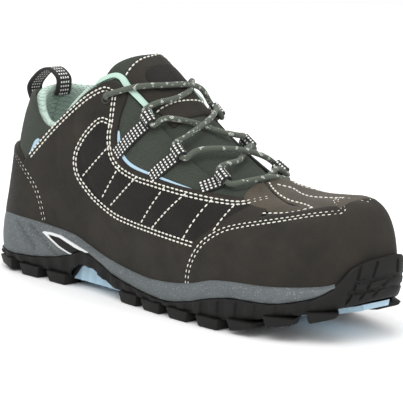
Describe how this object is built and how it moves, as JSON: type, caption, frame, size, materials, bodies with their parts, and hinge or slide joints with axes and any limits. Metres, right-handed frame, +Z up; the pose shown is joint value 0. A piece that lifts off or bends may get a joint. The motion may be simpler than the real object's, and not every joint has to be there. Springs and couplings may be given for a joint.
{
  "type": "safety sneaker",
  "caption": "Low safety sneaker for the right foot: hollow lace-up upper with leather overlays and reinforced toe cap, padded collar and tongue, grey midsole and black lugged outsole.",
  "frame": {"origin": "middle of the underside of the shoe's box, on the floor plane", "axes": "+X from heel to toe, +Y towards the medial side, +Z up"},
  "size_m": [0.2848, 0.0986, 0.1325],
  "materials": {
    "textile": "coarse grey-green woven textile",
    "leather": "dark brown-grey nubuck leather, cream stitching",
    "saddle_leather": "lighter brown-grey nubuck leather",
    "lining": "mint spacer mesh with small holes",
    "midsole_foam": "speckled grey moulded foam",
    "black_rubber": "matte black moulded rubber",
    "blue_rubber": "light blue moulded rubber",
    "silver_trim": "satin silver moulded trim",
    "webbing": "black webbing with white dashes",
    "lace": "round braided grey-green lace with pale flecks",
    "insole_foam": "textile-covered foam"
  },
  "bodies": {
    "root": {"outsole": "black_rubber", "midsole": "midsole_foam", "side_window_lateral": "silver_trim", "side_window_medial": "silver_trim", "arch_plate": "blue_rubber", "tread_insert": "blue_rubber", "upper": "textile", "toe_cap": "leather", "heel_counter": "leather", "quarter_lateral": "leather", "quarter_medial": "leather", "vamp_saddle": "saddle_leather", "collar_lining": "lining", "tongue": "textile", "tongue_patch": "leather", "insole": "insole_foam", "lace_loop_lateral_1": "webbing", "lace_loop_lateral_2": "webbing", "lace_loop_lateral_3": "webbing", "lace_loop_medial_1": "webbing", "lace_loop_medial_2": "webbing", "lace_loop_medial_3": "webbing", "laces": "lace", "pull_loop": "webbing"}
  },
  "joints": []
}
